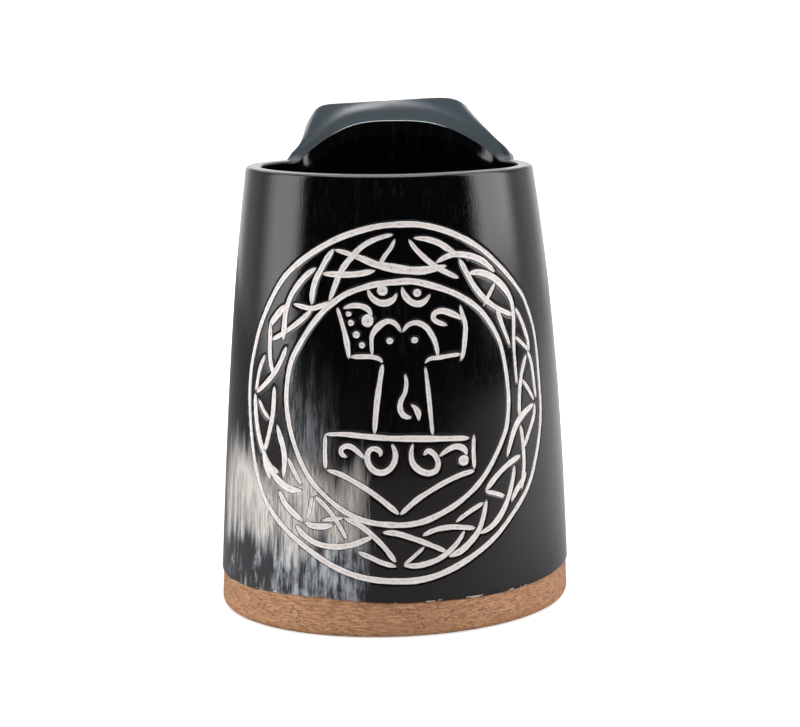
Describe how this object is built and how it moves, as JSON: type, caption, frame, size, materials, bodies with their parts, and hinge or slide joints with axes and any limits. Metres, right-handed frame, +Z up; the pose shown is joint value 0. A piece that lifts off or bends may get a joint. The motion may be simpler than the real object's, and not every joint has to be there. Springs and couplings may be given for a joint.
{
  "type": "horn drinking cup",
  "caption": "Oval tapered drinking tankard of polished dark horn, its heat-bent strap handle cut in one with the wall, on a flush wooden base.",
  "frame": {"origin": "middle of the flat underside, on the cup's axis", "axes": "+Z up through the mouth, -Y towards the engraved front, +Y towards the handle"},
  "size_m": [0.105, 0.1184, 0.1438],
  "materials": {
    "horn": "polished horn",
    "wood": "sanded and oiled",
    "seal": "cast resin"
  },
  "bodies": {
    "root": {"horn_body": "horn", "wood_base": "wood", "base_seal": "seal"}
  },
  "joints": []
}
